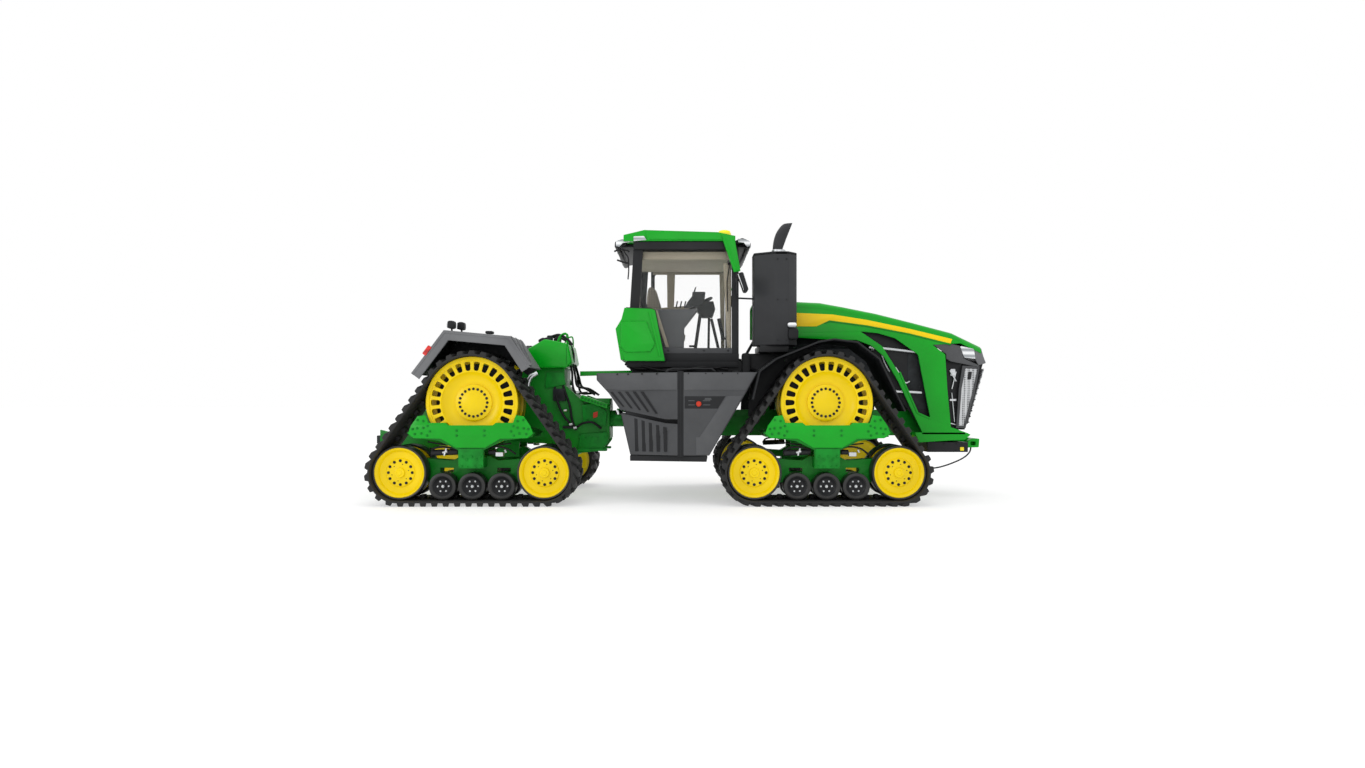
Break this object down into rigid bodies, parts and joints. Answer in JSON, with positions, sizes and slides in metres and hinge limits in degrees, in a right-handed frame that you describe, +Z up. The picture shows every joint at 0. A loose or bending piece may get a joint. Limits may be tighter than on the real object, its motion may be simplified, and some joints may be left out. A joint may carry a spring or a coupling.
{
  "type": "four-track articulated tractor",
  "caption": "Articulated farm tractor on triangular rubber tracks, with a central cab, a sloping hood, side tanks and a pivoting centre joint.",
  "frame": {"origin": "on the ground, in the middle of the outline", "axes": "+X is forward, +Y is the tractor's left side and +Z is up"},
  "size_m": [8.932, 3, 3.8261],
  "materials": {
    "green": "gloss",
    "dark_green": "satin",
    "yellow": "gloss",
    "belt_rubber": "matte",
    "roller_rubber": "satin",
    "charcoal": "matte",
    "black": "satin",
    "barrel_black": "gloss",
    "rod_steel": "polished",
    "glass": "clear",
    "seat_fabric": "woven",
    "cast": "painted dark grey"
  },
  "bodies": {
    "front_chassis": {"front_frame": "dark_green", "engine": "cast", "cab_frame": "black", "cab_roof": "green", "cab_glazing": "glass", "cab_rear_cover": "green", "exhaust_stack": "black", "fuel_tank_right": "charcoal", "fuel_tank_left": "charcoal", "front_fender_right": "black", "front_fender_left": "black"},
    "hood": {"hood": "green", "nose_grille": "black"},
    "door": {"cab_door": "black"},
    "operator_seat": {"seat": "seat_fabric"},
    "hand_wheel": {"steering_wheel": "black"},
    "mirror_r": {"mirror_right": "black"},
    "mirror_l": {"mirror_left": "black"},
    "center_link": {"articulation_yoke": "dark_green"},
    "rear_chassis": {"rear_frame": "dark_green", "hydraulic_tank": "green", "rear_fender_right": "charcoal", "rear_fender_left": "charcoal"},
    "drawbar": {"drawbar": "cast"},
    "cylinder_barrel_r": {"steering_barrel_right": "barrel_black"},
    "cylinder_rod_r": {"steering_rod_right": "rod_steel"},
    "cylinder_barrel_l": {"steering_barrel_left": "barrel_black"},
    "cylinder_rod_l": {"steering_rod_left": "rod_steel"},
    "track_front_right": {"undercarriage_front_right": "green", "belt_front_right": "belt_rubber"},
    "drive_front_right": {"drive_wheel_front_right": "yellow"},
    "idler_fore_front_right": {"idler_fore_front_right": "yellow"},
    "idler_aft_front_right": {"idler_aft_front_right": "yellow"},
    "midroller_1_front_right": {"midroller_1_front_right": "roller_rubber"},
    "midroller_2_front_right": {"midroller_2_front_right": "roller_rubber"},
    "midroller_3_front_right": {"midroller_3_front_right": "roller_rubber"},
    "track_front_left": {"undercarriage_front_left": "green", "belt_front_left": "belt_rubber"},
    "drive_front_left": {"drive_wheel_front_left": "yellow"},
    "idler_fore_front_left": {"idler_fore_front_left": "yellow"},
    "idler_aft_front_left": {"idler_aft_front_left": "yellow"},
    "midroller_1_front_left": {"midroller_1_front_left": "roller_rubber"},
    "midroller_2_front_left": {"midroller_2_front_left": "roller_rubber"},
    "midroller_3_front_left": {"midroller_3_front_left": "roller_rubber"},
    "track_rear_right": {"undercarriage_rear_right": "green", "belt_rear_right": "belt_rubber"},
    "drive_rear_right": {"drive_wheel_rear_right": "yellow"},
    "idler_fore_rear_right": {"idler_fore_rear_right": "yellow"},
    "idler_aft_rear_right": {"idler_aft_rear_right": "yellow"},
    "midroller_1_rear_right": {"midroller_1_rear_right": "roller_rubber"},
    "midroller_2_rear_right": {"midroller_2_rear_right": "roller_rubber"},
    "midroller_3_rear_right": {"midroller_3_rear_right": "roller_rubber"},
    "track_rear_left": {"undercarriage_rear_left": "green", "belt_rear_left": "belt_rubber"},
    "drive_rear_left": {"drive_wheel_rear_left": "yellow"},
    "idler_fore_rear_left": {"idler_fore_rear_left": "yellow"},
    "idler_aft_rear_left": {"idler_aft_rear_left": "yellow"},
    "midroller_1_rear_left": {"midroller_1_rear_left": "roller_rubber"},
    "midroller_2_rear_left": {"midroller_2_rear_left": "roller_rubber"},
    "midroller_3_rear_left": {"midroller_3_rear_left": "roller_rubber"}
  },
  "joints": [
    {"name": "steer", "type": "hinge", "parent": "front_chassis", "child": "center_link", "pos_m": [-0.62, 0, 1.12], "axis": [0, 0, 1], "range_deg": [-30, 30]},
    {"name": "roll", "type": "hinge", "parent": "center_link", "child": "rear_chassis", "pos_m": [-1.19, 0, 1.12], "axis": [1, 0, 0], "range_deg": [-8, 8]},
    {"name": "hand_wheel_turn", "type": "hinge", "parent": "front_chassis", "child": "hand_wheel", "pos_m": [0.33, 0, 2.82], "axis": [-0.4794, 0, 0.8776], "range_deg": [-450, 450]},
    {"name": "cylinder_swing_right", "type": "hinge", "parent": "front_chassis", "child": "cylinder_barrel_r", "pos_m": [-0.216, -0.311, 1.215], "axis": [0, 0, 1], "range_deg": [-10, 10]},
    {"name": "cylinder_stroke_right", "type": "slide", "parent": "cylinder_barrel_r", "child": "cylinder_rod_r", "axis": [-0.9885, 0.1515, 0], "range_m": [-0.128, 0.128]},
    {"name": "cylinder_swing_left", "type": "hinge", "parent": "front_chassis", "child": "cylinder_barrel_l", "pos_m": [-0.216, 0.311, 1.215], "axis": [0, 0, 1], "range_deg": [-10, 10]},
    {"name": "cylinder_stroke_left", "type": "slide", "parent": "cylinder_barrel_l", "child": "cylinder_rod_l", "axis": [-0.9885, -0.1515, 0], "range_m": [-0.128, 0.128]},
    {"name": "hood_tilt", "type": "hinge", "parent": "front_chassis", "child": "hood", "pos_m": [1.12, 0, 2.79], "axis": [0, -1, 0], "range_deg": [0, 38]},
    {"name": "door_swing", "type": "hinge", "parent": "front_chassis", "child": "door", "pos_m": [-0.43, 0.855, 2.7], "axis": [0, 0, 1], "range_deg": [0, 70]},
    {"name": "seat_swivel", "type": "hinge", "parent": "front_chassis", "child": "operator_seat", "pos_m": [-0.135, 0, 2], "axis": [0, 0, 1], "range_deg": [-8, 25]},
    {"name": "mirror_fold_right", "type": "hinge", "parent": "front_chassis", "child": "mirror_r", "pos_m": [0.8225, -0.94, 3], "axis": [0, 0, 1], "range_deg": [-60, 20]},
    {"name": "mirror_fold_left", "type": "hinge", "parent": "front_chassis", "child": "mirror_l", "pos_m": [0.8225, 0.94, 3], "axis": [0, 0, 1], "range_deg": [-20, 60]},
    {"name": "drawbar_swing", "type": "hinge", "parent": "rear_chassis", "child": "drawbar", "pos_m": [-3.78, 0, 0.779], "axis": [0, 0, 1], "range_deg": [-15, 15]},
    {"name": "rock_front_right", "type": "hinge", "parent": "front_chassis", "child": "track_front_right", "pos_m": [1.966, -1.119, 1.357], "axis": [0, 1, 0], "range_deg": [-6, 6]},
    {"name": "drive_front_right", "type": "hinge", "parent": "track_front_right", "child": "drive_front_right", "pos_m": [1.966, -1.119, 1.357], "axis": [0, 1, 0], "continuous": true},
    {"name": "spin_idler_fore_front_right", "type": "hinge", "parent": "track_front_right", "child": "idler_fore_front_right", "pos_m": [2.916, -1.119, 0.435], "axis": [0, 1, 0], "continuous": true},
    {"name": "spin_idler_aft_front_right", "type": "hinge", "parent": "track_front_right", "child": "idler_aft_front_right", "pos_m": [1.016, -1.119, 0.435], "axis": [0, 1, 0], "continuous": true},
    {"name": "spin_midroller_1_front_right", "type": "hinge", "parent": "track_front_right", "child": "midroller_1_front_right", "pos_m": [2.353, -1.119, 0.255], "axis": [0, 1, 0], "continuous": true},
    {"name": "spin_midroller_2_front_right", "type": "hinge", "parent": "track_front_right", "child": "midroller_2_front_right", "pos_m": [1.966, -1.119, 0.255], "axis": [0, 1, 0], "continuous": true},
    {"name": "spin_midroller_3_front_right", "type": "hinge", "parent": "track_front_right", "child": "midroller_3_front_right", "pos_m": [1.579, -1.119, 0.255], "axis": [0, 1, 0], "continuous": true},
    {"name": "rock_front_left", "type": "hinge", "parent": "front_chassis", "child": "track_front_left", "pos_m": [1.966, 1.119, 1.357], "axis": [0, 1, 0], "range_deg": [-6, 6]},
    {"name": "drive_front_left", "type": "hinge", "parent": "track_front_left", "child": "drive_front_left", "pos_m": [1.966, 1.119, 1.357], "axis": [0, 1, 0], "continuous": true},
    {"name": "spin_idler_fore_front_left", "type": "hinge", "parent": "track_front_left", "child": "idler_fore_front_left", "pos_m": [2.916, 1.119, 0.435], "axis": [0, 1, 0], "continuous": true},
    {"name": "spin_idler_aft_front_left", "type": "hinge", "parent": "track_front_left", "child": "idler_aft_front_left", "pos_m": [1.016, 1.119, 0.435], "axis": [0, 1, 0], "continuous": true},
    {"name": "spin_midroller_1_front_left", "type": "hinge", "parent": "track_front_left", "child": "midroller_1_front_left", "pos_m": [2.353, 1.119, 0.255], "axis": [0, 1, 0], "continuous": true},
    {"name": "spin_midroller_2_front_left", "type": "hinge", "parent": "track_front_left", "child": "midroller_2_front_left", "pos_m": [1.966, 1.119, 0.255], "axis": [0, 1, 0], "continuous": true},
    {"name": "spin_midroller_3_front_left", "type": "hinge", "parent": "track_front_left", "child": "midroller_3_front_left", "pos_m": [1.579, 1.119, 0.255], "axis": [0, 1, 0], "continuous": true},
    {"name": "rock_rear_right", "type": "hinge", "parent": "rear_chassis", "child": "track_rear_right", "pos_m": [-2.694, -1.119, 1.357], "axis": [0, 1, 0], "range_deg": [-6, 6]},
    {"name": "drive_rear_right", "type": "hinge", "parent": "track_rear_right", "child": "drive_rear_right", "pos_m": [-2.694, -1.119, 1.357], "axis": [0, 1, 0], "continuous": true},
    {"name": "spin_idler_fore_rear_right", "type": "hinge", "parent": "track_rear_right", "child": "idler_fore_rear_right", "pos_m": [-1.744, -1.119, 0.435], "axis": [0, 1, 0], "continuous": true},
    {"name": "spin_idler_aft_rear_right", "type": "hinge", "parent": "track_rear_right", "child": "idler_aft_rear_right", "pos_m": [-3.644, -1.119, 0.435], "axis": [0, 1, 0], "continuous": true},
    {"name": "spin_midroller_1_rear_right", "type": "hinge", "parent": "track_rear_right", "child": "midroller_1_rear_right", "pos_m": [-2.307, -1.119, 0.255], "axis": [0, 1, 0], "continuous": true},
    {"name": "spin_midroller_2_rear_right", "type": "hinge", "parent": "track_rear_right", "child": "midroller_2_rear_right", "pos_m": [-2.694, -1.119, 0.255], "axis": [0, 1, 0], "continuous": true},
    {"name": "spin_midroller_3_rear_right", "type": "hinge", "parent": "track_rear_right", "child": "midroller_3_rear_right", "pos_m": [-3.081, -1.119, 0.255], "axis": [0, 1, 0], "continuous": true},
    {"name": "rock_rear_left", "type": "hinge", "parent": "rear_chassis", "child": "track_rear_left", "pos_m": [-2.694, 1.119, 1.357], "axis": [0, 1, 0], "range_deg": [-6, 6]},
    {"name": "drive_rear_left", "type": "hinge", "parent": "track_rear_left", "child": "drive_rear_left", "pos_m": [-2.694, 1.119, 1.357], "axis": [0, 1, 0], "continuous": true},
    {"name": "spin_idler_fore_rear_left", "type": "hinge", "parent": "track_rear_left", "child": "idler_fore_rear_left", "pos_m": [-1.744, 1.119, 0.435], "axis": [0, 1, 0], "continuous": true},
    {"name": "spin_idler_aft_rear_left", "type": "hinge", "parent": "track_rear_left", "child": "idler_aft_rear_left", "pos_m": [-3.644, 1.119, 0.435], "axis": [0, 1, 0], "continuous": true},
    {"name": "spin_midroller_1_rear_left", "type": "hinge", "parent": "track_rear_left", "child": "midroller_1_rear_left", "pos_m": [-2.307, 1.119, 0.255], "axis": [0, 1, 0], "continuous": true},
    {"name": "spin_midroller_2_rear_left", "type": "hinge", "parent": "track_rear_left", "child": "midroller_2_rear_left", "pos_m": [-2.694, 1.119, 0.255], "axis": [0, 1, 0], "continuous": true},
    {"name": "spin_midroller_3_rear_left", "type": "hinge", "parent": "track_rear_left", "child": "midroller_3_rear_left", "pos_m": [-3.081, 1.119, 0.255], "axis": [0, 1, 0], "continuous": true}
  ],
  "couplings": [
    {"joint": "hand_wheel_turn", "follows": "steer", "ratio": 15},
    {"joint": "cylinder_swing_right", "follows": "steer", "ratio": 0.309},
    {"joint": "cylinder_stroke_right", "follows": "steer", "m_per_rad": -0.2385},
    {"joint": "cylinder_swing_left", "follows": "steer", "ratio": 0.309},
    {"joint": "cylinder_stroke_left", "follows": "steer", "m_per_rad": 0.2385},
    {"joint": "spin_idler_fore_front_right", "follows": "drive_front_right", "ratio": 1.6833},
    {"joint": "spin_idler_aft_front_right", "follows": "drive_front_right", "ratio": 1.6833},
    {"joint": "spin_midroller_1_front_right", "follows": "drive_front_right", "ratio": 3.3667},
    {"joint": "spin_midroller_2_front_right", "follows": "drive_front_right", "ratio": 3.3667},
    {"joint": "spin_midroller_3_front_right", "follows": "drive_front_right", "ratio": 3.3667},
    {"joint": "spin_idler_fore_front_left", "follows": "drive_front_left", "ratio": 1.6833},
    {"joint": "spin_idler_aft_front_left", "follows": "drive_front_left", "ratio": 1.6833},
    {"joint": "spin_midroller_1_front_left", "follows": "drive_front_left", "ratio": 3.3667},
    {"joint": "spin_midroller_2_front_left", "follows": "drive_front_left", "ratio": 3.3667},
    {"joint": "spin_midroller_3_front_left", "follows": "drive_front_left", "ratio": 3.3667},
    {"joint": "spin_idler_fore_rear_right", "follows": "drive_rear_right", "ratio": 1.6833},
    {"joint": "spin_idler_aft_rear_right", "follows": "drive_rear_right", "ratio": 1.6833},
    {"joint": "spin_midroller_1_rear_right", "follows": "drive_rear_right", "ratio": 3.3667},
    {"joint": "spin_midroller_2_rear_right", "follows": "drive_rear_right", "ratio": 3.3667},
    {"joint": "spin_midroller_3_rear_right", "follows": "drive_rear_right", "ratio": 3.3667},
    {"joint": "spin_idler_fore_rear_left", "follows": "drive_rear_left", "ratio": 1.6833},
    {"joint": "spin_idler_aft_rear_left", "follows": "drive_rear_left", "ratio": 1.6833},
    {"joint": "spin_midroller_1_rear_left", "follows": "drive_rear_left", "ratio": 3.3667},
    {"joint": "spin_midroller_2_rear_left", "follows": "drive_rear_left", "ratio": 3.3667},
    {"joint": "spin_midroller_3_rear_left", "follows": "drive_rear_left", "ratio": 3.3667}
  ]
}
